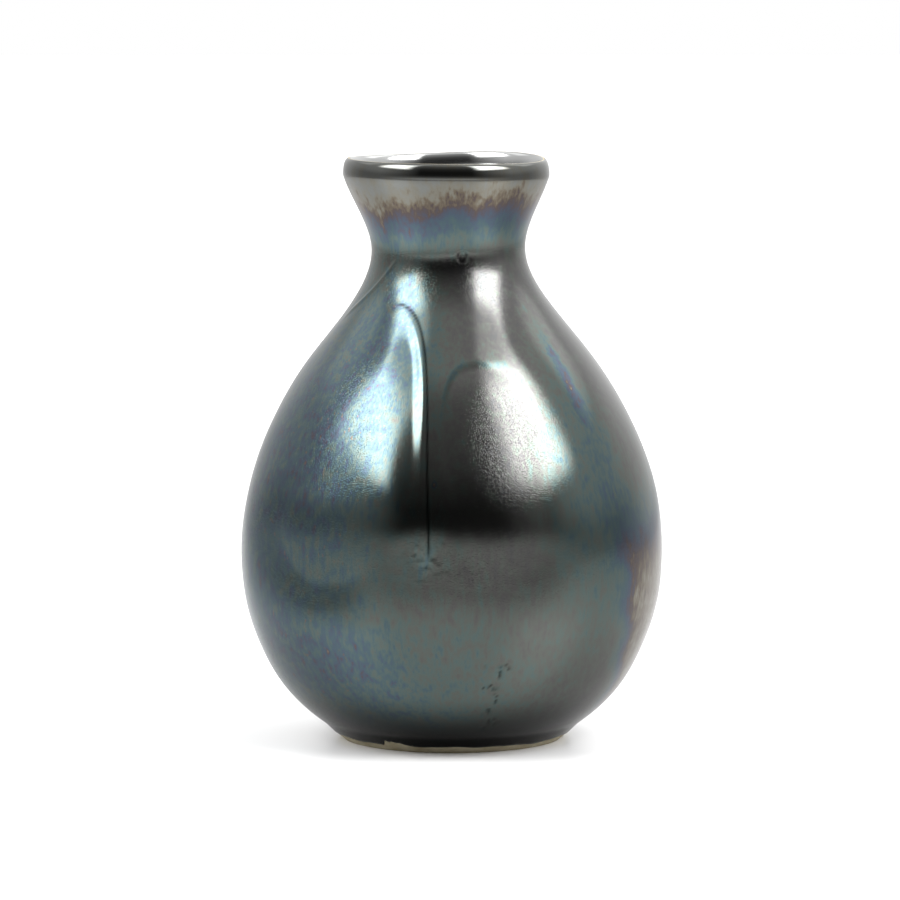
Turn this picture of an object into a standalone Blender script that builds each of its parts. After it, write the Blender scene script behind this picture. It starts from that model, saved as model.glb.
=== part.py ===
"""Sake bottle (tokkuri): a pear-shaped stoneware bottle with four pressed hollows, and its glaze coats.

Run it with:  blender --background --python part.py
Metres, +Z up. The origin is on the table, in the middle of the foot. The front of the bottle faces -Y.

The bottle is one fired clay body with three separate glaze coats: one outside, one lining the inside
and one in the hollow under the base. All four are layers of one wall, so all are turned from the same
curve: the profile of the finished outside, and the depth of each layer below it. Every ring of a turned
piece then gets the same pressed hollows, the same lean of the neck and the same warp of the rim.
"""

import math

import bmesh
import bpy
import numpy as np

MM = 0.001

# Driving dimensions of the finished bottle.
HEIGHT = 122.8 * MM  # table to the mean height of the rim's crest
BELLY_RADIUS = 44.5 * MM
BELLY_HEIGHT = 38.0 * MM  # table to the widest ring of the belly
THROAT_RADIUS = 16.25 * MM
THROAT_DROP = 18.8 * MM  # rim crest down to the narrowest ring of the neck
LIP_RADIUS = 21.75 * MM
LIP_DROP = 3.3 * MM  # rim crest down to the widest ring of the lip
LIP_ROLL = 1.5 * MM  # how far the lip's rounding would reach below its widest ring
FLARE_SLOPE = 0.33  # radius gained per height just below the lip
FOOT_RADIUS = 23.5 * MM  # outer edge of the ring that stands on the table
FOOT_HEIGHT = 3.6 * MM
FOOT_TOP_RADIUS = 27.2 * MM
FOOT_SLOPE = 1.45  # radius gained per height just above the foot's corner
FOOT_RING_WIDTH = 4.2 * MM
BASE_RECESS = 2.2 * MM  # how deep the base is hollowed inside the foot ring

# Thicknesses of the layers.
CLAY_WALL = 3.4 * MM
FLOOR_THICKNESS = 4.2 * MM  # clay only
RIM_THICKNESS = 2.4 * MM  # the whole lip, glaze and clay, at its widest ring
OUTER_COAT = 0.4 * MM
LINER_COAT = 0.4 * MM
BASE_COAT = 0.4 * MM
GAP = 0.3 * MM  # clearance between a coat and the clay beside it

# Where the glaze stops.
BARE_FOOT = 1.0 * MM  # clay left bare above the table
BARE_CREST = 1.4 * MM  # width of the strip along the rim's crest that the coats leave bare
BASE_COAT_MARGIN = 1.0 * MM  # clay left bare between the base coat and the foot ring

# Hand-made unevenness.
NECK_LEAN = -1.2 * MM  # how far the mouth stands off the axis, along X
RIM_WARP = 0.25 * MM  # half the rise and fall of the rim, twice in a turn
RIM_WARP_AT = -45.0  # degrees round from the front to a high spot

# The pressed hollows. An angle is in degrees round from the front (-Y) towards +X, and an edge is the
# share of a hollow's half width over which its side slopes.
HOLLOWS = (
    {"centre": -44.0, "half_width": 35.0, "depth": 1.3 * MM, "edge": 0.45},
    {"centre": 17.0, "half_width": 24.0, "depth": 0.8 * MM, "edge": 0.60},
    {"centre": 124.0, "half_width": 36.0, "depth": 1.3 * MM, "edge": 0.60},
    {"centre": 208.0, "half_width": 36.0, "depth": 1.3 * MM, "edge": 0.60},
)
HOLLOW_BOTTOM = 25.0 * MM
HOLLOW_TOP_DROP = 31.0 * MM  # rim crest down to the top of the hollows
HOLLOW_SQUARENESS = 2.6  # 2 is an ellipse, and more is squarer

# Facets round a ring, and rings along each stretch of a section.
SEGMENTS = 36
OUTER_RINGS = 21
ROLL_RINGS = 2
LIP_RINGS = 3
INNER_RINGS = 15
FLOOR_RINGS = 5

LIP_HEIGHT = HEIGHT - LIP_DROP
THROAT_HEIGHT = HEIGHT - THROAT_DROP
UNDER_OUTER = OUTER_COAT + GAP
UNDER_LINER = LINER_COAT + GAP
WHOLE_WALL = UNDER_OUTER + CLAY_WALL + UNDER_LINER
FLOOR_TOP = BASE_RECESS + FLOOR_THICKNESS
LOWEST_WALL = HOLLOW_BOTTOM * 0.8  # where the inside leaves the wall and rounds off into the floor


def between(low, high, share):
    return low + (high - low) * share


def smooth_step(low, high, value):
    t = min(max((value - low) / (high - low), 0.0), 1.0)
    return t * t * (3 - 2 * t)


def lip(turn, depth=0.0):
    """(radius, height) on the lip, a depth below its surface. The turn is in degrees: negative below the
    widest ring, 0 at it, 90 at the crest and 180 at the ring opposite it, inside the mouth."""
    a = math.radians(turn)
    half = RIM_THICKNESS / 2
    reach = LIP_ROLL if turn < 0 else LIP_DROP
    radius = LIP_RADIUS - half + (half - depth) * math.cos(a)
    return radius, LIP_HEIGHT + (reach - depth) * math.sin(a)


LIP_START = -math.degrees(math.atan(FLARE_SLOPE * LIP_ROLL / (RIM_THICKNESS / 2)))
BARE_TURN = 90 - math.degrees(math.asin(min(BARE_CREST / RIM_THICKNESS, 0.9)))  # where the coats stop


def profile_stations():
    """(height, radius) of the outside from the top of the foot to the start of the lip.

    Between the foot, the belly, the throat and the lip, a few stations give each stretch its
    fullness, as shares of the rise and of the change in radius."""
    lip_radius, lip_height = lip(LIP_START)
    lower = ((0.0, 0.0), (0.176, 0.405), (0.475, 0.775), (0.70, 0.925))
    shoulder = ((0.0, 1.0), (0.268, 0.922), (0.4615, 0.745), (0.6546, 0.4687), (0.846, 0.1286))
    flare = ((0.0, 0.0), (0.487, 0.385), (1.0, 1.0))
    stretches = (
        (lower, (FOOT_HEIGHT, BELLY_HEIGHT), (FOOT_TOP_RADIUS, BELLY_RADIUS)),
        (shoulder, (BELLY_HEIGHT, THROAT_HEIGHT), (THROAT_RADIUS, BELLY_RADIUS)),
        (flare, (THROAT_HEIGHT, lip_height), (THROAT_RADIUS, lip_radius)),
    )
    return np.array(
        [
            (between(*heights, rise), between(*radii, width))
            for shares, heights, radii in stretches
            for rise, width in shares
        ]
    )


class Spline:
    """A cubic spline through (x, y) points, with continuous curvature and a given slope at each end."""

    def __init__(self, points, start_slope, end_slope):
        self.x, self.y = points[:, 0], points[:, 1]
        step = np.diff(self.x)
        rise = np.diff(self.y) / step
        count = len(self.x)
        matrix = np.zeros((count, count))
        right = np.zeros(count)
        matrix[0, 0] = matrix[-1, -1] = 1.0
        right[0], right[-1] = start_slope, end_slope
        for i in range(1, count - 1):
            matrix[i, i - 1 : i + 2] = (step[i], 2 * (step[i - 1] + step[i]), step[i - 1])
            right[i] = 3 * (step[i] * rise[i - 1] + step[i - 1] * rise[i])
        self.slope = np.linalg.solve(matrix, right)

    def __call__(self, x):
        """(value, slope) at x."""
        i = int(np.clip(np.searchsorted(self.x, x) - 1, 0, len(self.x) - 2))
        step = self.x[i + 1] - self.x[i]
        t = (x - self.x[i]) / step
        y0, y1 = self.y[i], self.y[i + 1]
        m0, m1 = self.slope[i] * step, self.slope[i + 1] * step
        a, b = 2 * (y0 - y1) + m0 + m1, 3 * (y1 - y0) - 2 * m0 - m1
        return y0 + t * (m0 + t * (b + t * a)), (m0 + t * (2 * b + 3 * t * a)) / step


PROFILE = Spline(profile_stations(), FOOT_SLOPE, FLARE_SLOPE)


def below_outside(height, depth):
    """(radius, height, source height) at a depth under the finished outside. The source height is the
    height of the outside there, at which the hollows, the lean and the warp are read."""
    if height < FOOT_HEIGHT:
        slope = (FOOT_TOP_RADIUS - FOOT_RADIUS) / FOOT_HEIGHT
        radius = FOOT_RADIUS + slope * height
    else:
        radius, slope = PROFILE(height)
    inward = depth / math.hypot(1.0, slope)
    return radius - inward, height + slope * inward, height


def on_lip(turn, depth):
    """The same, on the lip."""
    return (*lip(turn, depth), LIP_HEIGHT)


def wall_at(height):
    """Thickness of the whole wall: thin at the lip and full below the throat."""
    return between(WHOLE_WALL, RIM_THICKNESS, smooth_step(THROAT_HEIGHT, LIP_HEIGHT, height))


def spaced(low, high, count):
    """Heights from low to high, closer together at both ends, where the section turns fastest."""
    even = np.linspace(0, 1, count)
    eased = (1 - np.cos(math.pi * even)) / 2
    return [between(low, high, share) for share in between(even, eased, 0.45)]


def outer_face(depth):
    """The section at a depth under the outside, from the top of the foot to where the coats stop."""
    wall = [below_outside(h, depth) for h in spaced(FOOT_HEIGHT, lip(LIP_START)[1], OUTER_RINGS)]
    roll = [on_lip(LIP_START * (1 - i / ROLL_RINGS), depth) for i in range(1, ROLL_RINGS)]
    return wall + roll + [on_lip(BARE_TURN * i / LIP_RINGS, depth) for i in range(LIP_RINGS + 1)]


def inner_face(depth):
    """The section at a depth under the inside, from where the coats stop down to the middle of the floor."""
    over = [on_lip(180 - BARE_TURN * i / LIP_RINGS, depth) for i in reversed(range(LIP_RINGS + 1))]
    top = lip(LIP_START)[1] - RIM_THICKNESS
    wall = [below_outside(h, wall_at(h) - depth) for h in spaced(top, LOWEST_WALL, INNER_RINGS)]
    return over + wall + floor_curve(wall[-2], wall[-1], FLOOR_TOP + UNDER_LINER - depth)


def floor_curve(before, last, top):
    """A rounded curve that carries on from two points of the wall to the middle of a floor at that height."""
    start = np.array(last[:2])
    end = np.array((0.0, top))
    reach = 0.9 * np.linalg.norm(start - end)
    leave = (start - before[:2]) / np.linalg.norm(start - before[:2]) * reach
    arrive = np.array((-reach, 0.0))
    found = []
    for i in range(1, FLOOR_RINGS + 1):
        t = i / (FLOOR_RINGS + 0.35)
        point = (2 * t**3 - 3 * t**2 + 1) * start + (t**3 - 2 * t**2 + t) * leave
        point += (3 * t**2 - 2 * t**3) * end + (t**3 - t**2) * arrive
        found.append((point[0], max(point[1], top), LOWEST_WALL))
    return found


def hollow_depth(angle, height):
    """How far the pressed hollows take the surface in, at an angle in degrees and a height."""
    top = HEIGHT - HOLLOW_TOP_DROP
    up = (2 * height - top - HOLLOW_BOTTOM) / (top - HOLLOW_BOTTOM)
    total = 0.0
    for hollow in HOLLOWS:
        across = ((angle - hollow["centre"] + 180) % 360 - 180) / hollow["half_width"]
        reach = (abs(across) ** HOLLOW_SQUARENESS + abs(up) ** HOLLOW_SQUARENESS) ** (1 / HOLLOW_SQUARENESS)
        total += hollow["depth"] * (1 - smooth_step(1 - hollow["edge"], 1.0, reach))
    return total


def place(radius, height, source_height, angle):
    """The point of the bottle at that radius, height and angle."""
    a = math.radians(angle)
    r = radius - hollow_depth(angle, source_height)
    lean = NECK_LEAN * smooth_step(BELLY_HEIGHT + BELLY_RADIUS, LIP_HEIGHT, source_height)
    rise = smooth_step(THROAT_HEIGHT, LIP_HEIGHT, source_height)
    warp = RIM_WARP * rise * math.cos(2 * (a - math.radians(RIM_WARP_AT)))
    return r * math.sin(a) + lean, -r * math.cos(a), height + warp


def turned(name, section, material, closed_on_axis):
    """A solid turned from a section of (radius, height, source height) points, which run up the outside.

    A section that is closed on the axis gets a point there at each end. Any other is a closed loop."""
    mesh = bmesh.new()
    rings = []
    for point in section:
        rings.append([mesh.verts.new(place(*point, 360 * i / SEGMENTS)) for i in range(SEGMENTS)])
    pairs = list(zip(rings, rings[1:]))
    if closed_on_axis:
        for ring, turn in ((rings[0], -1), (rings[-1], 1)):
            centre = sum((np.array(v.co) for v in ring), np.zeros(3)) / SEGMENTS
            pole = mesh.verts.new(centre)
            for a, b in zip(ring, ring[1:] + ring[:1]):
                mesh.faces.new((pole, a, b)[::turn])
    else:
        pairs.append((rings[-1], rings[0]))
    for low, high in pairs:
        for i in range(SEGMENTS):
            j = (i + 1) % SEGMENTS
            mesh.faces.new((low[i], low[j], high[j], high[i]))
    data = bpy.data.meshes.new(name)
    mesh.to_mesh(data)
    mesh.free()
    data.shade_smooth()
    data.set_sharp_from_angle(angle=math.radians(50))
    data.materials.append(material)
    piece = bpy.data.objects.new(name, data)
    bpy.context.scene.collection.objects.link(piece)
    return piece


def finish(name, colour, roughness, metallic):
    material = bpy.data.materials.new(name)
    material.use_nodes = True
    shader = material.node_tree.nodes["Principled BSDF"]
    shader.inputs["Base Color"].default_value = (*colour, 1.0)
    shader.inputs["Roughness"].default_value = roughness
    shader.inputs["Metallic"].default_value = metallic
    return material


def clay_body(material):
    """The fired clay: foot ring, wall, neck, lip and floor in one piece. Its foot and the crest of its
    rim stand out to the finished surface, where no glaze covers them."""
    ring_inside = FOOT_RADIUS - FOOT_RING_WIDTH
    base = [
        (ring_inside / 2, BASE_RECESS, 0.0),
        (ring_inside - BASE_RECESS / 2, BASE_RECESS, 0.0),
        (ring_inside, 0.0, 0.0),
        (FOOT_RADIUS, 0.0, 0.0),
        below_outside(BARE_FOOT - GAP * 2, 0.0),
        below_outside(BARE_FOOT - GAP, UNDER_OUTER),
    ]
    bare_from = between(BARE_TURN, 90, 0.75)  # the clay rises to the surface between the two coats
    crest = [on_lip(turn, 0.0) for turn in (bare_from, 90.0, 180 - bare_from)]
    section = base + outer_face(UNDER_OUTER) + crest + inner_face(UNDER_LINER)
    return turned("clay_body", section, material, closed_on_axis=True)


def outer_glaze(material):
    """The coat of dark lustre glaze on the outside, from just above the table up to the rim's crest."""
    face = [below_outside(BARE_FOOT, 0.0), *outer_face(0.0)]
    back = [below_outside(BARE_FOOT, OUTER_COAT), *outer_face(OUTER_COAT)]
    return turned("outer_glaze", face + back[::-1], material, closed_on_axis=False)


def inner_glaze(material):
    """The liner coat, from the rim's crest down the inside and over the floor."""
    section = inner_face(LINER_COAT)[::-1] + inner_face(0.0)
    return turned("inner_glaze", section, material, closed_on_axis=True)


def base_glaze(material):
    """The thin disc of glaze in the hollow under the base, inside the foot ring."""
    radius = FOOT_RADIUS - FOOT_RING_WIDTH - BASE_RECESS / 2 - BASE_COAT_MARGIN
    top = BASE_RECESS - GAP
    low = top - BASE_COAT
    section = [(radius / 2, low, 0.0), (radius, low, 0.0), (radius, top, 0.0), (radius / 2, top, 0.0)]
    return turned("base_glaze", section, material, closed_on_axis=True)


for leftover in list(bpy.data.objects):
    bpy.data.objects.remove(leftover)

clay = finish("buff_stoneware", (0.62, 0.55, 0.42), 0.85, 0.0)
glaze = finish("dark_lustre_glaze", (0.16, 0.18, 0.19), 0.22, 0.9)
clay_body(clay)
outer_glaze(glaze)
inner_glaze(glaze)
base_glaze(glaze)
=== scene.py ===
"""A sake bottle (tokkuri) of buff stoneware under a dark lustre glaze, standing on a white table."""

import math

import bpy
import numpy as np
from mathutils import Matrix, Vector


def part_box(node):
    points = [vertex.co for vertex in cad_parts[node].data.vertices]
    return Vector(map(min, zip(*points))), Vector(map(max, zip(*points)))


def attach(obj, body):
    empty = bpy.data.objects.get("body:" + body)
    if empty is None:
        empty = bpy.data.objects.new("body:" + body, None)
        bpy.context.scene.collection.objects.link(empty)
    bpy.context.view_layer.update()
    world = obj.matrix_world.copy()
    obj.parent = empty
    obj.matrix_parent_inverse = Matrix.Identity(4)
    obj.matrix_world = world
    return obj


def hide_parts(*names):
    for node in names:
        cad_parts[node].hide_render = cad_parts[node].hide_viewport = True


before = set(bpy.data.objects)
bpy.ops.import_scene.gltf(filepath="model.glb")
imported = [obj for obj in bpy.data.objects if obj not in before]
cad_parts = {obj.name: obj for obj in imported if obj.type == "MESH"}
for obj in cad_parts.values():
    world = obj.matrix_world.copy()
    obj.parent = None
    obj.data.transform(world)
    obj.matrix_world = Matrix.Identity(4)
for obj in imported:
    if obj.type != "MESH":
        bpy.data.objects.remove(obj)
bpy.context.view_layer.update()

# ---------------------------------------------------------------------------------------------------
# Clay body. The bottle itself: buff stoneware thrown on the wheel, pressed in round the belly while it
# was soft, dried, glazed and fired once. Bare clay shows as a band at the foot, in the recess under the
# base and as a thin line along the rim. The three glaze coats are fused to it.
# ---------------------------------------------------------------------------------------------------
MM = 0.001
RIM_WARP = 0.25 * MM  # half the rise and fall of the rim, which has two high places
RIM_WAVE = 0.12 * MM  # the same for a smaller wave with three
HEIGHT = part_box("clay_body")[1].z - RIM_WARP
BELLY_RADIUS = 44.5 * MM
BELLY_HEIGHT = 38.0 * MM
THROAT_RADIUS = 16.25 * MM
THROAT_HEIGHT = HEIGHT - 18.8 * MM
LIP_RADIUS = 21.75 * MM
LIP_DROP = 3.3 * MM  # from the rim's crest down to the lip's widest ring
LIP_ROLL = 1.5 * MM  # from there down to where the lip turns into the neck
LIP_HEIGHT = HEIGHT - LIP_DROP
LIP_HALF = 1.2 * MM  # half the thickness of the lip
FLARE_SLOPE = 0.33  # how far the neck widens for each unit of height under the lip
FOOT_RADIUS = 23.5 * MM
FOOT_HEIGHT = 3.6 * MM
FOOT_TOP_RADIUS = 27.2 * MM
FOOT_SLOPE = 1.45  # how far the belly widens for each unit of height above the foot
FOOT_RING_WIDTH = 4.2 * MM
FOOT_EDGE = 0.25 * MM  # how far the foot ring's edges are softened
BASE_RECESS = 2.2 * MM
BASE_FLAT = 1.3 * MM  # from the foot ring's inner side to the flat part of the recess
BASE_COVE = 1.1 * MM  # radius of the curve between them
WALL = 4.8 * MM
FLOOR_TOP = 7.1 * MM
FLOOR_CURVE = 20 * MM  # the inside starts to curve in to the floor at this height
NECK_LEAN = -1.2 * MM
CLAY_DEPTH = 0.42 * MM  # how far the clay lies below the glazed surface
CREST_DEPTH = 0.06 * MM  # the same on the rim's crest, where it is bare

# The hollows that were pressed into the belly. Turns are in degrees round from the front (-Y) towards
# +X, heights and depths in millimetres. The slant is how many degrees a hollow's centre moves round for
# each millimetre below SLANT_HEIGHT. Its outline is an ellipse where square is 2, and squarer where it
# is more. The bowl is the share of the depth that rises smoothly towards the outline, and the rest is a
# step at the outline. The edges give the share of the half size that this step takes up, by the
# direction from the middle: 0 is right and 90 is up.
SLANT_HEIGHT = 67
LEFT_HOLLOW = {
    "centre": -44.9, "half": 36, "low": 25.5, "high": 92.5, "depth": 1.2,
    "slant": 0.075, "square": 4.0, "bowl": 0.55,
    "edges": ((0, 0.11), (50, 0.11), (70, 0.3), (90, 0.6), (140, 0.8), (180, 0.9), (225, 0.6),
              (270, 0.35), (325, 0.4)),
}
RIGHT_PANEL = {
    "centre": 13.5, "half": 18, "low": 30.0, "high": 83.0, "depth": 0.22,
    "slant": 0.060, "square": 4.0, "bowl": 0.0,
    "edges": ((0, 0.40), (40, 0.18), (90, 0.08), (135, 0.10), (160, 0.16), (180, 0.30), (210, 0.40),
              (330, 0.40)),
}
BACK_HOLLOWS = [
    {
        "centre": centre, "half": 36, "low": low, "high": high, "depth": 1.4,
        "slant": 0.0, "square": 2.8, "bowl": 0.3,
        "edges": ((0, 0.35), (90, 0.4), (180, 0.5), (270, 0.3)),
    }
    for centre, low, high in ((124, 25.0, 91.0), (208, 26.0, 90.0))
]
DENT_DEPTH = 0.47 * MM  # a shallow dent across the front, below the ridge between the hollows
DENT_HEIGHT = 42.0
DENT_SPREAD = 7.0


def smooth_step(low, high, value):
    t = np.clip((value - low) / (high - low), 0.0, 1.0)
    return t * t * (3 - 2 * t)


def bump(value, centre, width):
    """A soft hump of height 1 round a centre."""
    return np.exp(-(((value - centre) / width) ** 2))


def turn_from(angle, centre):
    """How far round an angle lies from a centre, in degrees from -180 to 180."""
    return (angle - centre + 180) % 360 - 180


def hermite(points, end_slopes, x):
    """(value, slope) at x of the smooth curve through (x, y) points with those slopes at its ends."""
    xs, ys = np.array(points).T
    step = np.diff(xs)
    rise = np.diff(ys) / step
    matrix = np.eye(len(xs))
    right = np.zeros(len(xs))
    right[0], right[-1] = end_slopes
    for i in range(1, len(xs) - 1):
        matrix[i, i - 1 : i + 2] = (step[i], 2 * (step[i - 1] + step[i]), step[i - 1])
        right[i] = 3 * (step[i] * rise[i - 1] + step[i - 1] * rise[i])
    slopes = np.linalg.solve(matrix, right)
    i = np.clip(np.searchsorted(xs, x) - 1, 0, len(xs) - 2)
    t = (x - xs[i]) / step[i]
    m0, m1 = slopes[i] * step[i], slopes[i + 1] * step[i]
    a, b = 2 * (ys[i] - ys[i + 1]) + m0 + m1, 3 * (ys[i + 1] - ys[i]) - 2 * m0 - m1
    return ys[i] + t * (m0 + t * (b + t * a)), (m0 + t * (2 * b + 3 * t * a)) / step[i]


LIP_START = -math.atan(FLARE_SLOPE * LIP_ROLL / LIP_HALF)
LIP_START_HEIGHT = LIP_HEIGHT + LIP_ROLL * math.sin(LIP_START)


def profile(height):
    """(radius, slope) of the glazed outside at heights up to the start of the lip."""
    lip_radius = LIP_RADIUS - LIP_HALF + LIP_HALF * math.cos(LIP_START)
    stretches = (
        ((FOOT_HEIGHT, FOOT_TOP_RADIUS), (BELLY_HEIGHT, BELLY_RADIUS),
         ((0, 0), (0.176, 0.405), (0.475, 0.775), (0.70, 0.925))),
        ((BELLY_HEIGHT, BELLY_RADIUS), (THROAT_HEIGHT, THROAT_RADIUS),
         ((0, 0), (0.268, 0.078), (0.4615, 0.255), (0.6546, 0.5313), (0.846, 0.8714))),
        ((THROAT_HEIGHT, THROAT_RADIUS), (LIP_START_HEIGHT, lip_radius),
         ((0, 0), (0.487, 0.385), (1, 1))),
    )
    points = [
        (start[0] + (end[0] - start[0]) * along, start[1] + (end[1] - start[1]) * across)
        for start, end, shares in stretches
        for along, across in shares
    ]
    radius, slope = hermite(points, (FOOT_SLOPE, FLARE_SLOPE), np.maximum(height, FOOT_HEIGHT))
    foot_slope = (FOOT_TOP_RADIUS - FOOT_RADIUS) / FOOT_HEIGHT
    on_foot = height < FOOT_HEIGHT
    foot_radius = FOOT_RADIUS + foot_slope * height
    return np.where(on_foot, foot_radius, radius), np.where(on_foot, foot_slope, slope)


def inside_hollow(hollow, angle, height):
    """(across, up, reach) in shares of the hollow's half size. The reach is 1 along its outline."""
    centre = hollow["centre"] + hollow["slant"] * (SLANT_HEIGHT - height / MM)
    across = turn_from(angle, centre) / hollow["half"]
    middle = (hollow["low"] + hollow["high"]) / 2
    up = (height / MM - middle) / ((hollow["high"] - hollow["low"]) / 2)
    square = hollow["square"]
    return across, up, (np.abs(across) ** square + np.abs(up) ** square) ** (1 / square)


def pressed(angle, height):
    """How far the hollows take the surface in."""
    total = np.zeros(np.broadcast(angle, height).shape)
    for hollow in (LEFT_HOLLOW, RIGHT_PANEL, *BACK_HOLLOWS):
        across, up, reach = inside_hollow(hollow, angle, height)
        directions, widths = np.array(hollow["edges"]).T
        edge = np.interp(np.degrees(np.arctan2(up, across)), directions, widths, period=360)
        bowl = 1 - hollow["bowl"] * np.minimum(reach, 1) ** 2
        press = hollow["depth"] * MM * bowl * (1 - smooth_step(1 - edge, 1.0, reach))
        if hollow is LEFT_HOLLOW:  # deeper towards the foot, and its right side dies out there and at the top
            press *= 1 + 1.1 * smooth_step(-0.1, -0.65, up)
            press *= 1 - 0.85 * smooth_step(0.7, -0.1, up) * smooth_step(0.2, 0.8, across)
            press *= 1 - 0.9 * smooth_step(-0.1, 0.65, up) * smooth_step(0.95, 0.45, across)
        total += press
    dent = smooth_step(-32, -8, angle) * smooth_step(46, 18, angle)
    return total + DENT_DEPTH * dent * bump(height / MM, DENT_HEIGHT, DENT_SPREAD)


def uneven(angle, height):
    """The slight waviness of a hand-made wall."""
    a = np.radians(angle)
    wave = 0.10 * np.sin(2 * a + 60 * height + 0.7) + 0.07 * np.sin(3 * a - 95 * height + 2.1)
    wave += 0.035 * np.sin(7 * a + 210 * height + 4.0) + 0.02 * np.sin(11 * a - 330 * height + 1.3)
    return wave * MM * smooth_step(4 * MM, 20 * MM, height) * smooth_step(LIP_HEIGHT, 90 * MM, height)


def columns(count):
    """Angles round the bottle, closer together at the front, where the ridge between hollows is."""
    fine = np.linspace(-180, 180, 2001)
    density = 1 + 1.3 * bump(fine, -8, 14) + 0.7 * bump(fine, 0, 60)
    share = np.concatenate(([0], np.cumsum((density[1:] + density[:-1]) / 2)))
    return np.interp(np.arange(count) / count, share / share[-1], fine)


def place(radius, height, source, angle):
    """Points of the bottle at a radius, a height and an angle. The hollows, the lean and the warp of
    the rim are read at the source height, so that every layer of the wall gets the same ones."""
    a = np.radians(angle)
    r = radius - pressed(angle, source) + uneven(angle, source)
    lean = NECK_LEAN * smooth_step(BELLY_HEIGHT + BELLY_RADIUS, LIP_HEIGHT, source)
    rise = smooth_step(THROAT_HEIGHT, LIP_HEIGHT, source)
    warp = RIM_WARP * rise * np.cos(2 * (a + math.radians(45)))
    warp += RIM_WAVE * rise * np.sin(3 * a + 0.6)
    return np.stack([r * np.sin(a) + lean, -r * np.cos(a), height + warp], axis=-1)


def on_wall(height, depth, angle):
    """Points at a depth below the glazed outside."""
    radius, slope = profile(height)
    inward = depth / np.hypot(1, slope)
    return place(radius - inward, height + slope * inward, height, angle)


def on_lip(turn, depth, angle):
    """Points at a depth below the lip's surface, at a turn in radians: 0 at its widest, pi/2 on the crest."""
    reach = np.where(np.asarray(turn) < 0, LIP_ROLL, LIP_DROP)
    radius = LIP_RADIUS - LIP_HALF + (LIP_HALF - depth) * np.cos(turn)
    height = LIP_HEIGHT + (reach - depth) * np.sin(turn)
    return place(radius, height, LIP_HEIGHT, angle)


def wall_at(height):
    """Thickness of the whole wall: thin at the lip and full below the throat."""
    return WALL + (2 * LIP_HALF - WALL) * smooth_step(THROAT_HEIGHT, LIP_HEIGHT, height)


def inside_rings(depth, count, angle):
    """Rings at a depth below the liner's face, from under the lip down the wall and over the floor."""
    heights = np.linspace(LIP_START_HEIGHT - 2 * LIP_HALF, FLOOR_CURVE, count)
    rings = [on_wall(h, wall_at(h) - depth, angle) for h in heights]
    start = rings[-1]
    down = (rings[-1] - rings[-2]) / np.linalg.norm(rings[-1] - rings[-2], axis=-1, keepdims=True)
    top = FLOOR_TOP - depth
    centre = np.array((0.0, 0.0, top))
    reach = 0.9 * np.linalg.norm(start - centre, axis=-1, keepdims=True)
    outward = start * (1, 1, 0) / np.linalg.norm(start * (1, 1, 0), axis=-1, keepdims=True)
    for t in np.linspace(0, 1, 22)[1:-1]:  # one smooth curve from the wall to the middle of the floor
        point = (2 * t**3 - 3 * t**2 + 1) * start + (t**3 - 2 * t**2 + t) * down * reach
        point = point + (3 * t**2 - 2 * t**3) * centre - (t**3 - t**2) * outward * reach
        point[..., 2] = np.maximum(point[..., 2], top)
        rings.append(point)
    return rings


def skin(name, rings, material, closed_loop=False):
    """A mesh through rings of points, closed with a point at each end or as a loop of rings."""
    rings = [np.asarray(ring) for ring in rings]
    count = rings[0].shape[0]
    points = np.concatenate(rings)
    index = np.arange(len(rings) * count).reshape(len(rings), count)
    low = index if closed_loop else index[:-1]
    high = np.roll(index, -1, axis=0) if closed_loop else index[1:]
    quads = np.stack([low, np.roll(low, -1, axis=1), np.roll(high, -1, axis=1), high], axis=-1)
    faces = quads.reshape(-1, 4).tolist()
    if not closed_loop:
        poles = np.stack([rings[0].mean(0), rings[-1].mean(0)])
        first, last = len(points), len(points) + 1
        points = np.concatenate([points, poles])
        faces += [(first, b, a) for a, b in zip(index[0], np.roll(index[0], -1))]
        faces += [(last, a, b) for a, b in zip(index[-1], np.roll(index[-1], -1))]
    mesh = bpy.data.meshes.new(name)
    mesh.from_pydata(points.tolist(), [], faces)
    mesh.shade_smooth()
    mesh.materials.append(material)
    piece = bpy.data.objects.new(name, mesh)
    bpy.context.scene.collection.objects.link(piece)
    return piece


def new_material(name, **values):
    """A material with those values on its Principled shader's sockets. Returns (material, shader)."""
    material = bpy.data.materials.new(name)
    material.use_nodes = True
    shader = material.node_tree.nodes["Principled BSDF"]
    for socket, value in values.items():
        shader.inputs[socket.replace("_", " ")].default_value = value
    return material, shader


def new_group(name, inputs, outputs):
    """An empty shader node group. Inputs map a name to a default, outputs map a name to a socket type."""
    group = bpy.data.node_groups.new(name, "ShaderNodeTree")
    for socket, default in inputs.items():
        made = group.interface.new_socket(socket, in_out="INPUT", socket_type="NodeSocketFloat")
        made.default_value = default
    for socket, kind in outputs.items():
        group.interface.new_socket(socket, in_out="OUTPUT", socket_type=kind)
    return group, group.nodes.new("NodeGroupInput"), group.nodes.new("NodeGroupOutput")


def add_node(tree, kind, inputs=(), **settings):
    """A node with those settings. Each input is a socket name or index, and a value or a socket to link."""
    node = tree.nodes.new(kind)
    for name, value in settings.items():
        setattr(node, name, value)
    for socket, value in dict(inputs).items():
        if isinstance(value, bpy.types.NodeSocket):
            tree.links.new(value, node.inputs[socket])
        else:
            node.inputs[socket].default_value = value
    return node


def add_ramp(tree, factor, stops):
    """A colour ramp over (position, colour) stops."""
    ramp = add_node(tree, "ShaderNodeValToRGB", {"Fac": factor})
    elements = ramp.color_ramp.elements
    while len(elements) < len(stops):
        elements.new(1.0)
    for element, (position, colour) in zip(elements, stops):
        element.position = position
        element.color = (*colour, 1.0)
    return ramp.outputs["Color"]


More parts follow.
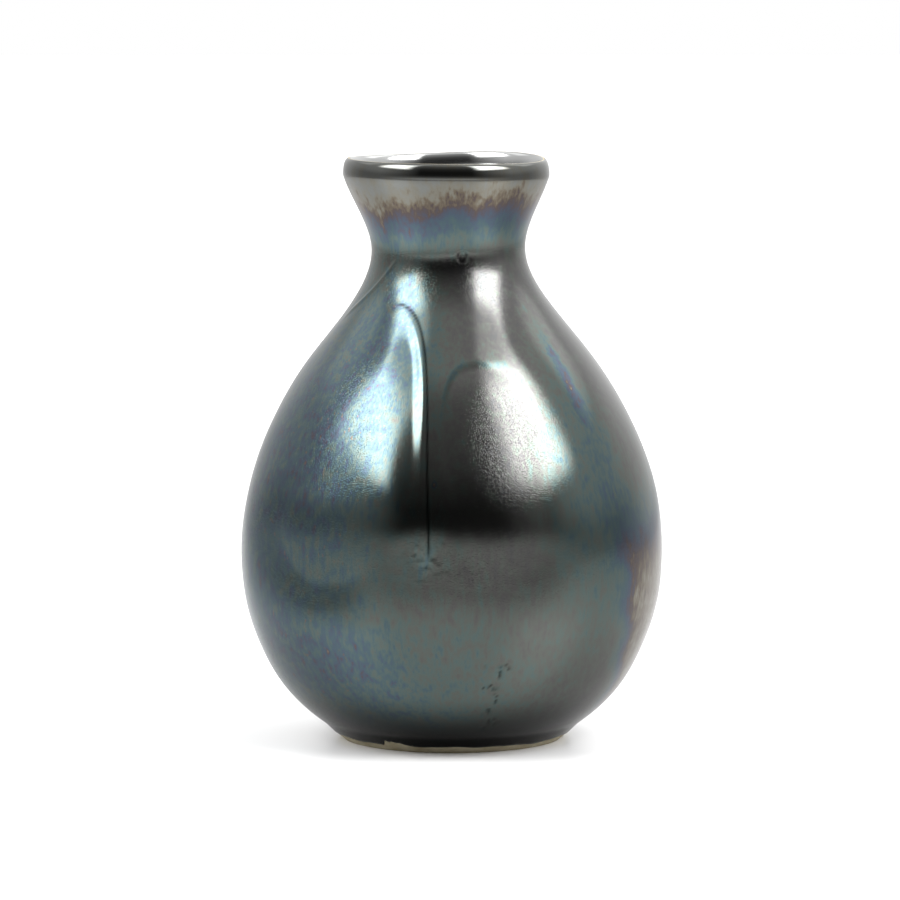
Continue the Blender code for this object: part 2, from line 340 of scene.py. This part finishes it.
def mix_colours(tree, factor, first, second):
    """The first colour where the factor is 0, and the second where it is 1."""
    mix = add_node(tree, "ShaderNodeMix", {0: factor, 6: first, 7: second}, data_type="RGBA")
    return mix.outputs[2]


def fired_grain_group():
    """Grain of fired clay and glaze: a fine noise, which can be stretched up and down the pot."""
    group, given, result = new_group(
        "fired_grain", {"Scale": 1000.0, "Stretch": 1.0, "Detail": 3.0}, {"Grain": "NodeSocketFloat"}
    )
    place_on_pot = add_node(group, "ShaderNodeTexCoord").outputs["Object"]
    apart = add_node(group, "ShaderNodeSeparateXYZ", {0: place_on_pot})
    squeezed = add_node(
        group, "ShaderNodeMath", {0: apart.outputs["Z"], 1: given.outputs["Stretch"]}, operation="DIVIDE"
    )
    joined = add_node(
        group, "ShaderNodeCombineXYZ", {0: apart.outputs["X"], 1: apart.outputs["Y"], 2: squeezed.outputs[0]}
    )
    noise = add_node(
        group,
        "ShaderNodeTexNoise",
        {"Vector": joined.outputs[0], "Scale": given.outputs["Scale"], "Detail": given.outputs["Detail"]},
    )
    group.links.new(noise.outputs["Fac"], result.inputs["Grain"])
    return group


def add_grain(tree, scale, stretch=1.0, detail=3.0):
    node = add_node(tree, "ShaderNodeGroup", node_tree=FIRED_GRAIN)
    for socket, value in {"Scale": scale, "Stretch": stretch, "Detail": detail}.items():
        node.inputs[socket].default_value = value
    return node.outputs["Grain"]


FIRED_GRAIN = fired_grain_group()


def stoneware_material():
    """Buff clay, cloudy and gritty, with a few darker specks of iron."""
    material, shader = new_material("buff_stoneware", Roughness=0.85, Specular_IOR_Level=0.35)
    tree = material.node_tree
    cloudy = add_grain(tree, 180.0, detail=4.0)
    specks = add_grain(tree, 2600.0, detail=2.0)
    colour = add_ramp(tree, cloudy, ((0.35, (0.36, 0.31, 0.20)), (0.65, (0.50, 0.45, 0.32))))
    speck_mask = add_ramp(tree, specks, ((0.68, (0, 0, 0)), (0.76, (1, 1, 1))))
    speckled = mix_colours(tree, speck_mask, colour, (0.23, 0.16, 0.10, 1))
    tree.links.new(speckled, shader.inputs["Base Color"])
    gritty = add_grain(tree, 3200.0, detail=4.0)
    relief = add_node(tree, "ShaderNodeBump", {"Height": gritty, "Strength": 0.5, "Distance": 0.00012})
    tree.links.new(relief.outputs[0], shader.inputs["Normal"])
    return material


COLUMNS = columns(330)


def clay_rings():
    """The clay's section, from the middle of the base, up the outside, over the rim and down to the floor."""
    ring_inside = FOOT_RADIUS - FOOT_RING_WIDTH
    flat_end = ring_inside - BASE_FLAT
    angle = COLUMNS
    flat = [(r, BASE_RECESS) for r in np.linspace(2 * MM, flat_end, 12)]
    cove = [
        (flat_end + BASE_COVE * math.sin(t), BASE_RECESS - BASE_COVE * (1 - math.cos(t)))
        for t in np.linspace(0.2, math.pi / 2, 5)
    ]
    chamfer = [(ring_inside, FOOT_EDGE), (ring_inside + FOOT_EDGE, 0.0)]
    foot = FOOT_RADIUS - CLAY_DEPTH / 2
    tread = [(foot - 2 * FOOT_EDGE, 0.0), (foot - 0.15 * MM, 0.05 * MM), (foot, FOOT_EDGE)]
    rings = [place(r, z, 0.0, angle) for r, z in flat + cove + chamfer + tread]
    for height in np.linspace(0.45 * MM, FOOT_HEIGHT, 9):  # the bare foot stands out from under the glaze
        under_glaze = smooth_step(2.6 * MM, FOOT_HEIGHT, height)
        rings.append(on_wall(height, CLAY_DEPTH / 2 + (CLAY_DEPTH / 2) * under_glaze, angle))
    rings += [on_wall(h, CLAY_DEPTH, angle) for h in np.linspace(FOOT_HEIGHT, LIP_START_HEIGHT, 110)[1:]]
    for turn in np.linspace(LIP_START, math.pi, 34):
        bare = bump(turn, math.pi / 2, 0.35)
        rings.append(on_lip(turn, CLAY_DEPTH + (CREST_DEPTH - CLAY_DEPTH) * bare, angle))
    return rings + inside_rings(CLAY_DEPTH, 40, angle)


clay_body = skin("clay_body_fired", clay_rings(), stoneware_material())
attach(clay_body, "root")
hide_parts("clay_body")

# ---------------------------------------------------------------------------------------------------
# Outer glaze. A glassy coat, dark with iron and manganese, which grew a skin of metal on its surface in
# the kiln. The skin is so thin that its thickness gives it colour: silver and tan where it is thinnest,
# near the rim, then rust, violet, blue, teal and a pale green-grey.
# ---------------------------------------------------------------------------------------------------
GLAZE = 0.3 * MM  # thickness of a glaze coat
CREST_BARE = 0.14  # how far each coat ends from the middle of the rim's crest, in radians round the lip
CREST_FACE = 0.05 * MM  # how far below the lip's surface a coat's face ends there
CREST_BACK = 0.09 * MM  # the same for its back
LEVEL_START = 6 * MM  # the rings above this are level, and below it follow the coat's uneven lower edge
NECK_START = 92 * MM  # the hidden rings above this lie closer together, where the wall curves most

# The skin's thickness from 0 to 1, by the millimetres below the rim's crest.
NECK_FILM = (
    (0, 0.00), (4, 0.03), (6.5, 0.11), (8.8, 0.19), (10.6, 0.27),
    (12.5, 0.38), (15.5, 0.52), (19, 0.70), (24, 0.90),
)
# On the body it is BODY_FILM but for these patches: the turn and height of each one's middle, its width
# in degrees, how tall it is in millimetres, and the skin's thickness in it.
BODY_FILM = 0.88
FILM_PATCHES = (
    (-62, 60, 32, 26, 0.35),
    (-30, 86, 16, 12, 0.42),
    (-45, 38, 15, 8, 0.55),
    (-68, 30, 14, 14, 0.36),
    (-40, 21, 22, 7, 0.31),
    (-22, 12, 24, 9, 0.50),
    (-7, 43.5, 4, 4, 0.62),
    (5, 18, 20, 12, 0.66),
    (48, 56, 8, 16, 0.46),
    (40, 50, 10, 20, 0.60),
    (-100, 40, 30, 40, 0.52),
    (160, 60, 40, 30, 0.45),
    (120, 30, 30, 25, 0.25),
    (-140, 30, 30, 25, 0.65),
)
PATCH_PULL = 6  # how strongly a patch outweighs the skin around it
# The turn where the tan flash on the right of the belly starts, by height in millimetres.
TAN_EDGE = ((0, 74), (10, 64), (25, 56), (38, 53), (65, 46), (90, 43))
TAN_FILM = 0.15
# The skin's colour by its thickness.
LUSTRE_COLOURS = (
    (0.00, (0.19, 0.195, 0.185)),
    (0.10, (0.19, 0.180, 0.150)),
    (0.16, (0.135, 0.112, 0.085)),
    (0.21, (0.090, 0.072, 0.068)),
    (0.28, (0.078, 0.078, 0.100)),
    (0.37, (0.066, 0.090, 0.122)),
    (0.48, (0.068, 0.104, 0.116)),
    (0.60, (0.088, 0.118, 0.112)),
    (0.75, (0.100, 0.108, 0.098)),
    (0.88, (0.096, 0.094, 0.092)),
    (1.00, (0.088, 0.090, 0.090)),
)


def marks(angle, height):
    """Small things on the glazed outside, as (how far they stand out, how much painted shade darkens the skin
    there).
    """
    up = height / MM
    across, rise, reach = inside_hollow(LEFT_HOLLOW, angle, height)
    ridge = smooth_step(0.25, 0.5, across) * smooth_step(-0.5, -0.38, rise)
    out = 0.05 * bump(reach, 1.0, 0.03) * ridge
    # Painted shade: the thin dark line along the ridge's crease.
    dark = 0.9 * bump(reach, 1.035, 0.010) * ridge  # the thin line on the ridge
    run = bump(up, 91 + 0.35 * (angle + 74), 0.5)  # a run of glaze on the left of the shoulder
    out += 0.2 * (run * smooth_step(-80, -72, angle) * smooth_step(-40, -46, angle))
    dice = np.random.default_rng(7)
    for _ in range(30):  # pits low on the right of the front
        turn, top, size = dice.normal(14, 2.2), dice.uniform(6.5, 21), dice.uniform(0.2, 0.38)
        pit = bump(turn_from(angle, turn), 0, size * 1.35) * bump(up, top, size)
        out -= 0.10 * pit
        # Painted shade darkens each pit.
        dark = np.maximum(dark, 0.75 * pit)
    for _ in range(40):  # the crawled patch below the ridge
        turn, top, size = dice.normal(-6.5, 2.2), dice.normal(43, 2.0), dice.uniform(0.3, 0.55)
        crawl = dice.choice((-0.05, 0.05)) * bump(turn_from(angle, turn), 0, size * 1.3)
        out += crawl * bump(up, top, size)
    ring = np.hypot(turn_from(angle, 10) * 0.29, up - 103)  # a burst bubble on the neck
    out += 0.10 * bump(ring, 0.9, 0.3)
    # Painted shade in the burst bubble's hollow middle.
    dark = np.maximum(dark, 0.6 * bump(ring, 0.5, 0.3))
    return out * MM, dark


def neck_film(angle, drop):
    """Thickness of the skin at a drop in millimetres below the crest, with the bands swaying up and down."""
    a = np.radians(angle)
    sway = 1.3 * np.sin(a * 2 + 0.4) + 0.5 * np.sin(a * 5)
    sway += 0.45 * np.sin(a * 9 + 1.0) + 0.3 * np.sin(a * 17)
    sway = sway - 1.6 * bump(turn_from(angle, -48), 0, 12) - 1.0 * bump(turn_from(angle, 20), 0, 10)
    drops, films = np.array(NECK_FILM).T
    return np.interp(drop + sway, drops, films)


def film_at(angle, height):
    """Thickness of the metal skin, from 0 to 1, before its streaks."""
    drop = (HEIGHT - height) / MM
    up = height / MM
    weight = np.ones(np.broadcast(angle, height).shape)
    total = BODY_FILM * weight
    for centre, middle, wide, tall, film in FILM_PATCHES:
        share = PATCH_PULL * bump(turn_from(angle, centre), 0, wide) * bump(up, middle, tall)
        total = total + share * film
        weight = weight + share
    body = total / weight
    streak = bump(turn_from(angle, 48.5 + 0.1 * (81 - up)), 0, 3.0) * bump(up, 80, 9)
    body = body - 0.42 * streak  # a blue streak on the right of the shoulder
    heights, turns = np.array(TAN_EDGE).T
    tan_edge = np.interp(up, heights, turns) + 1.5 * np.sin(up * 0.55)
    tan = smooth_step(-7, 8, turn_from(angle, tan_edge))
    tan = tan * smooth_step(110, 75, np.abs(turn_from(angle, 20)))
    body = body + (TAN_FILM - body) * tan * smooth_step(62, 36, up)
    body = body - 0.7 * bump(turn_from(angle, -5), 0, 0.8) * bump(up, 58.5, 0.6)  # a rusty spot
    _, rise, reach = inside_hollow(RIGHT_PANEL, angle, height)
    body = body - 0.22 * bump(reach, 0.97, 0.04) * smooth_step(0.2, 0.8, rise)  # along the panel's top
    return body + (neck_film(angle, drop) - body) * smooth_step(24, 17, drop)


def satin_at(angle, height):
    """Where the skin is dull with fine crystals, from 0 to 1."""
    up = height / MM
    front = bump(turn_from(angle, 18), 0, 16) * bump(up, 66, 12)
    throat = 0.6 * bump(up, 99, 8) + 0.5 * bump(up, HEIGHT / MM - 5.5, 1.2)
    left = bump(turn_from(angle, -35), 0, 16) * bump(up, 66, 15)
    left = left + 0.7 * bump(turn_from(angle, -60), 0, 22)
    low = 0.5 * smooth_step(54, 34, up)
    patch = bump(turn_from(angle, -7), 0, 5) * bump(up, 43.5, 4)
    satin = np.clip(1.2 * front + 0.8 * left + low + patch, 0, 1) * smooth_step(92, 78, up)
    return satin + throat


def blotch_at(angle, height):
    """How strongly the skin's streaks and blotches vary: evenly on the neck, most on the left."""
    up = height / MM
    left = bump(turn_from(angle, -55), 0, 45)
    body = 0.65 + 0.25 * left
    tan = bump(turn_from(angle, 75), 0, 24) * smooth_step(55, 40, up)
    drop = (HEIGHT - height) / MM
    neck = 0.30 + 0.40 * smooth_step(10, 15, drop)
    return (body - 0.45 * tan) + (neck - body) * smooth_step(24, 17, drop)


def shine_and_painted_shade_at(angle, height):
    """How brightly the skin reflects, as a scale on its colour, with painted shade in it. It is brightest
    round the throat, brighter on the crawled patch and dimmer on the right of the neck. Painted shade takes
    it almost to nothing at the foot, where the glaze reflects the table in the bottle's shadow, darkens the
    lip's outer roll, and darkens the pits, the line on the ridge and the bubble.
    """
    drop = (HEIGHT - height) / MM
    # Painted shade: the skin dims towards the foot, standing in for the shadowed table that it reflects
    # there.
    shine_and_painted_shade = 0.05 + 0.95 * smooth_step(4, 14.5, height / MM)
    shine_and_painted_shade = shine_and_painted_shade + 0.5 * bump(drop, 18, 4)
    shine_and_painted_shade = shine_and_painted_shade - 0.3 * bump(turn_from(angle, 52), 0, 25) * bump(drop, 14, 6)
    # Painted shade: a dark band on the lip's outer roll.
    shine_and_painted_shade = shine_and_painted_shade - 0.35 * smooth_step(4.2, 2.8, drop)
    shine_and_painted_shade = shine_and_painted_shade + 0.5 * bump(turn_from(angle, -7), 0, 3.5) * bump(height / MM, 43.5, 3)
    return shine_and_painted_shade * (1 - marks(angle, height)[1])


def math_of(tree, operation, *values):
    return add_node(tree, "ShaderNodeMath", dict(enumerate(values)), operation=operation).outputs[0]


def lustre_material():
    """The metal skin: its colour from its thickness, dulled and roughened by fine crystals."""
    material, shader = new_material("dark_lustre_glaze", Metallic=1.0)
    tree = material.node_tree
    film, satin, shine_and_painted_shade, blotch = (
        add_node(tree, "ShaderNodeAttribute", attribute_name=name).outputs["Fac"]
        for name in ("film", "satin", "shine_and_painted_shade", "blotch")
    )
    fur = add_grain(tree, 1500.0, stretch=8.0, detail=3.0)
    mottle = add_grain(tree, 520.0, stretch=1.5, detail=6.0)
    shift = math_of(tree, "MULTIPLY_ADD", fur, 0.75, -0.375)
    shift = math_of(tree, "MULTIPLY_ADD", mottle, 0.95, math_of(tree, "ADD", shift, -0.475))
    thickness = math_of(tree, "MULTIPLY_ADD", shift, blotch, film)
    colour = add_ramp(tree, thickness, LUSTRE_COLOURS)
    spots = add_grain(tree, 1300.0, stretch=1.6, detail=1.0)
    speck = add_ramp(tree, spots, ((0.68, (0, 0, 0)), (0.73, (1, 1, 1))))
    speck = math_of(tree, "MULTIPLY", speck, math_of(tree, "MULTIPLY_ADD", blotch, 2.2, -1.5))
    colour = mix_colours(tree, speck, colour, (0.17, 0.10, 0.06, 1))
    # The colour is scaled by the shine attribute, which carries painted shade.
    shaded = add_node(tree, "ShaderNodeVectorMath", {0: colour, "Scale": shine_and_painted_shade}, operation="SCALE")
    tree.links.new(shaded.outputs[0], shader.inputs["Base Color"])
    fine = add_grain(tree, 1500.0, detail=2.0)
    dull = math_of(tree, "MULTIPLY", satin, math_of(tree, "MULTIPLY_ADD", fine, 0.16, 0.03))
    tree.links.new(math_of(tree, "ADD", dull, 0.09), shader.inputs["Roughness"])
    grit = add_grain(tree, 4200.0, detail=1.0)
    crystals = add_ramp(tree, grit, ((0.52, (0, 0, 0)), (0.80, (1, 1, 1))))
    height = math_of(tree, "MULTIPLY", crystals, satin)
    relief = add_node(tree, "ShaderNodeBump", {"Height": height, "Strength": 0.35, "Distance": 0.00008})
    tree.links.new(relief.outputs[0], shader.inputs["Normal"])
    return material


def glaze_line(angle):
    """Height of the glaze's lower edge, which is uneven, and left a bare patch with tufts in one place."""
    a = np.radians(angle)
    wave = 0.14 * np.sin(5 * a + 1.0) + 0.10 * np.sin(11 * a + 2.2) + 0.05 * np.sin(23 * a)
    along = turn_from(angle, -35)
    patch = smooth_step(0, 1.2, along) * smooth_step(23, 6, along)
    tufts = 0.45 * bump(along, 2.2, 0.8) + 0.3 * bump(along, 5.5, 0.9) + 0.15 * bump(along, 9.5, 1.2)
    return (1.05 + wave + 0.8 * patch + tufts) * MM


def outer_face():
    """[(points, heights)] of the glazed face, ring by ring from its lower edge to the rim's crest."""
    angle = COLUMNS
    edge = glaze_line(angle)
    found = []
    for share in np.linspace(0, 1, 14):
        height = edge + (LEVEL_START - edge) * share**1.3
        bead = GLAZE * 0.9 * (1 - smooth_step(0, 0.5 * MM, height - edge)) ** 2
        found.append((on_wall(height, bead, angle), height))
    for height in np.linspace(LEVEL_START, LIP_START_HEIGHT, 226)[1:]:
        level = np.full_like(angle, height)
        found.append((on_wall(level, -marks(angle, level)[0], angle), level))
    end = math.pi / 2 - CREST_BARE
    for turn in np.linspace(LIP_START, end, 16)[1:]:
        thin = CREST_FACE * smooth_step(end - 0.4, end, turn)
        level = np.full_like(angle, LIP_HEIGHT + LIP_DROP * math.sin(turn))
        found.append((on_lip(turn, thin, angle), level))
    return found


def outer_back():
    """Rings of the coat's hidden inner side, from the rim down to its lower edge."""
    angle = COLUMNS
    end = math.pi / 2 - CREST_BARE
    found = []
    for turn in np.linspace(end, LIP_START, 8):
        back = GLAZE + (CREST_BACK - GLAZE) * smooth_step(end - 0.5, end, turn)
        found.append(on_lip(turn, back, angle))
    neck = np.linspace(LIP_START_HEIGHT, NECK_START, 14)[1:]
    body = np.linspace(NECK_START, LEVEL_START, 17)[1:]
    heights = [np.full_like(angle, height) for height in (*neck, *body)]
    edge = glaze_line(angle)
    heights += [edge + (LEVEL_START - edge) * share for share in (0.6, 0.3, 0.1)]
    return found + [on_wall(height, GLAZE, angle) for height in heights]


face = outer_face()
back = outer_back()
outer_glaze = skin(
    "outer_glaze_lustre", [ring for ring, _ in face] + back, lustre_material(), closed_loop=True
)
layers = {"film": film_at, "satin": satin_at, "shine_and_painted_shade": shine_and_painted_shade_at, "blotch": blotch_at}
for name, value_at in layers.items():
    shown = [value_at(COLUMNS, height) for _, height in face]
    hidden = np.full(len(back) * len(COLUMNS), 0.5)
    layer = outer_glaze.data.attributes.new(name, "FLOAT", "POINT")
    layer.data.foreach_set("value", np.concatenate([*shown, hidden]).astype(np.float32))
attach(outer_glaze, "root")
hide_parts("outer_glaze")

# ---------------------------------------------------------------------------------------------------
# Inner glaze. The same dark glaze, poured in and out again before firing so that the bottle holds
# liquid. It lines the inside from the rim's crest down, smooth and glossy.
# ---------------------------------------------------------------------------------------------------
LINER_DARK = ((0.35, (0.10, 0.105, 0.115)), (0.5, (0.085, 0.10, 0.12)), (0.65, (0.12, 0.12, 0.115)))
LINER_SILVER = (0.48, 0.485, 0.48, 1)


def liner_material():
    """Dark glaze, cloudy with metal, that turns silver on the way from the throat up to the rim."""
    material, shader = new_material("dark_liner_glaze", Metallic=1.0)
    tree = material.node_tree
    cloudy = add_grain(tree, 220.0, stretch=2.5, detail=4.0)
    colour = add_ramp(tree, cloudy, LINER_DARK)
    spot = add_node(tree, "ShaderNodeTexCoord").outputs["Object"]
    height = add_node(tree, "ShaderNodeSeparateXYZ", {0: spot}).outputs["Z"]
    near_rim = add_node(
        tree,
        "ShaderNodeMapRange",
        {"Value": height, "From Min": THROAT_HEIGHT, "From Max": LIP_HEIGHT - 5 * MM},
        interpolation_type="SMOOTHSTEP",
    )
    colour = mix_colours(tree, near_rim.outputs[0], colour, LINER_SILVER)
    tree.links.new(colour, shader.inputs["Base Color"])
    tree.links.new(math_of(tree, "MULTIPLY_ADD", cloudy, 0.12, 0.06), shader.inputs["Roughness"])
    return material


def liner_rings():
    """The liner's section as a loop: its hidden back from the floor up, then its face from the rim down."""
    angle = COLUMNS
    end = math.pi / 2 + CREST_BARE
    turns = np.linspace(end, math.pi, 16)
    face = [on_lip(t, CREST_FACE * smooth_step(end + 0.4, end, t), angle) for t in turns]
    face += inside_rings(0.0, 60, angle)
    back = []
    for turn in turns[::2]:
        depth = GLAZE + (CREST_BACK - GLAZE) * smooth_step(end + 0.5, end, turn)
        back.append(on_lip(turn, depth, angle))
    back += inside_rings(GLAZE, 30, angle)
    return back[::-1] + face


inner_glaze = skin("inner_glaze_liner", liner_rings(), liner_material())
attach(inner_glaze, "root")
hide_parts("inner_glaze")

# ---------------------------------------------------------------------------------------------------
# Base glaze. A disc of the same glaze brushed into the recess under the base, inside the foot ring,
# which is wiped clean so that the bottle doesn't stick to the kiln shelf.
# ---------------------------------------------------------------------------------------------------
BASE_GLAZE_RADIUS = 16.6 * MM
BASE_GLAZE_TOP = BASE_RECESS - 0.05 * MM  # just clear of the clay above it
BASE_GLAZE_ROUND = 0.6 * MM  # how far in from its edge the disc is rounded


def base_rings():
    """The disc's section, from the middle of its face out to its rounded edge and back in over its top."""
    angle = COLUMNS
    wander = 1 + 0.02 * np.sin(np.radians(angle) * 3 + 1) + 0.012 * np.sin(np.radians(angle) * 8)
    inner = BASE_GLAZE_RADIUS - BASE_GLAZE_ROUND
    under = [(r, BASE_GLAZE_TOP - GLAZE) for r in np.linspace(1.5 * MM, inner, 14)]
    rim = [
        (inner + BASE_GLAZE_ROUND * math.sin(t), BASE_GLAZE_TOP - GLAZE * math.cos(t))
        for t in np.linspace(0.25, math.pi / 2, 6)
    ]
    over = [(BASE_GLAZE_RADIUS * share, BASE_GLAZE_TOP) for share in (0.6, 0.2)]
    return [place(r * wander, z, 0.0, angle) for r, z in under + rim + over]


base_glaze = skin("base_glaze_disc", base_rings(), liner_material())
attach(base_glaze, "root")
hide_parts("base_glaze")

# ---------------------------------------------------------------------------------------------------
# Table. A smooth white sheet, slightly glossy, that the bottle stands on. It lies flat up to the bright
# background behind, and isn't part of the bottle.
# ---------------------------------------------------------------------------------------------------
TABLE_FRONT = -0.60
TABLE_SIDE = 0.9
TABLE_BACK = 3.0
TABLE_WHITE = (0.93, 0.93, 0.93, 1)
# Painted shade on the table as the glaze reflects it, greyer further from the bottle.
TABLE_REFLECTED_SHADE = ((0.10, 0.58), (0.26, 0.50), (0.50, 0.40), (0.62, 0.28))  # by distance from the bottle


def table_material():
    """White to the eye. In the glaze's reflections it is greyer, where it would otherwise drown the glaze's
    colour, with painted shade that deepens away from the bottle.
    """
    material, shader = new_material("white_table", Roughness=0.3, Specular_IOR_Level=0.4)
    tree = material.node_tree
    seen = add_node(tree, "ShaderNodeLightPath").outputs["Is Camera Ray"]
    spot = add_node(tree, "ShaderNodeTexCoord").outputs["Object"]
    far = add_node(tree, "ShaderNodeVectorMath", {0: spot}, operation="LENGTH").outputs["Value"]
    grey = add_ramp(tree, far, [(distance, (level,) * 3) for distance, level in TABLE_REFLECTED_SHADE])
    tree.links.new(mix_colours(tree, seen, grey, TABLE_WHITE), shader.inputs["Base Color"])
    return material


top = bpy.data.meshes.new("white_table")
corners = (
    (-TABLE_SIDE, TABLE_FRONT, 0),
    (TABLE_SIDE, TABLE_FRONT, 0),
    (TABLE_SIDE, TABLE_BACK, 0),
    (-TABLE_SIDE, TABLE_BACK, 0),
)
top.from_pydata(corners, [], [(0, 1, 2, 3)])
top.materials.append(table_material())
table = bpy.data.objects.new("white_table", top)
bpy.context.scene.collection.objects.link(table)

# ---------------------------------------------------------------------------------------------------
# Studio. Two large soft boxes, in front on either side, in a room that is dark behind the camera, pale
# at the sides and overhead, and white behind the bottle.
# ---------------------------------------------------------------------------------------------------
# For each of the two soft boxes, and for two much fainter panels behind: the turn of its middle, half
# its width and its strength. Then how wide its soft edge is, and its light by the degrees up.
SOFT_BOXES = ((-66, 20, 0.8), (60, 20, 1.0), (124, 14, 0.10), (-120, 14, 0.06))
SOFT_EDGE = 14
SOFT_BOX_LIGHT = ((24, 0.0), (31, 12.0), (53, 12.0), (60, 3.0), (72, 0.8), (90, 0.3))
# The room's light by the degrees up, and the turns between which one side of it fades into the next.
FRONT_LIGHT = (
    (-90, 0.5), (-9, 0.5), (-3, 1.2), (-1, 0.95), (1, 0.55), (4, 0.15), (8, 0.045), (18, 0.04),
    (30, 0.10), (46, 0.34), (56, 0.5), (66, 1.0), (90, 1.1),
)
SIDE_LIGHT = ((-90, 0.5), (-5, 0.5), (5, 0.5), (14, 0.85), (25, 1.0), (50, 1.3), (75, 1.0))
BACK_LIGHT = ((-90, 0.75), (-8, 0.75), (0, 0.8), (15, 1.1), (40, 1.1), (90, 1.0))
FRONT_TO_SIDE = (30, 80)
SIDE_TO_BACK = (105, 135)
ROOM_LEVEL = 1.02
ROOM_SKEW = 0.16  # how much brighter the room's right side is than its middle


def studio_world():
    """The light of the room by direction."""
    world = bpy.data.worlds.new("studio")
    bpy.context.scene.world = world
    world.use_nodes = True
    tree = world.node_tree
    direction = add_node(tree, "ShaderNodeTexCoord").outputs["Generated"]
    apart = add_node(tree, "ShaderNodeSeparateXYZ", {0: direction})
    x, y, z = (apart.outputs[axis] for axis in "XYZ")
    turn = math_of(tree, "ARCTAN2", x, math_of(tree, "MULTIPLY", y, -1.0))
    turn = math_of(tree, "MULTIPLY", turn, 180 / math.pi)
    rise = math_of(tree, "MULTIPLY", math_of(tree, "ARCSINE", z), 180 / math.pi)
    up = math_of(tree, "MULTIPLY_ADD", rise, 1 / 180, 0.5)
    front, side, back = (
        add_ramp(tree, up, [((degrees + 90) / 180, (light,) * 3) for degrees, light in lights])
        for lights in (FRONT_LIGHT, SIDE_LIGHT, BACK_LIGHT)
    )
    aside = math_of(tree, "MULTIPLY", math_of(tree, "ABSOLUTE", turn), 1 / 180)
    to_side, to_back = (
        add_ramp(tree, aside, ((start / 180, (0, 0, 0)), (end / 180, (1, 1, 1))))
        for start, end in (FRONT_TO_SIDE, SIDE_TO_BACK)
    )
    skew = math_of(tree, "MULTIPLY_ADD", turn, ROOM_SKEW / 180, ROOM_LEVEL)
    room = mix_colours(tree, to_back, mix_colours(tree, to_side, front, side), back)
    light = math_of(tree, "MULTIPLY", room, skew)
    brightest = max(light for _, light in SOFT_BOX_LIGHT)
    stops = [((degrees + 90) / 180, (light / brightest,) * 3) for degrees, light in SOFT_BOX_LIGHT]
    level = math_of(tree, "MULTIPLY", add_ramp(tree, up, stops), brightest)
    for centre, half, strength in SOFT_BOXES:
        off = math_of(tree, "ABSOLUTE", math_of(tree, "SUBTRACT", turn, float(centre)))
        soft = {"Value": off, "From Min": half + SOFT_EDGE / 2, "From Max": half - SOFT_EDGE / 2}
        inside = add_node(tree, "ShaderNodeMapRange", soft, interpolation_type="SMOOTHSTEP").outputs[0]
        share = math_of(tree, "MULTIPLY", inside, strength)
        light = math_of(tree, "MULTIPLY_ADD", share, level, light)
    seen = add_node(tree, "ShaderNodeLightPath").outputs["Is Camera Ray"]
    shown = mix_colours(tree, seen, light, (1, 1, 1, 1))
    tree.links.new(shown, tree.nodes["Background"].inputs["Color"])


studio_world()

# ---------------------------------------------------------------------------------------------------
# Camera. A long lens straight in front of the bottle, looking down on it a little, so that the rim shows
# as a thin ellipse with the far side of the lip just above the near one.
# ---------------------------------------------------------------------------------------------------
CAMERA_DISTANCE = 1.27
CAMERA_RISE = math.radians(6.5)
CAMERA_AIM = (-0.0004, 0.0, 0.0610)
lens = bpy.data.cameras.new("camera")
lens.lens = 240.5
lens.sensor_width = 36
lens.clip_end = 20
camera = bpy.data.objects.new("camera", lens)
camera.location = (
    CAMERA_AIM[0],
    CAMERA_AIM[1] - CAMERA_DISTANCE * math.cos(CAMERA_RISE),
    CAMERA_AIM[2] + CAMERA_DISTANCE * math.sin(CAMERA_RISE),
)
camera.rotation_euler = (math.pi / 2 - CAMERA_RISE, 0, 0)
bpy.context.scene.collection.objects.link(camera)
bpy.context.scene.camera = camera
bpy.context.scene.view_settings.view_transform = "Standard"
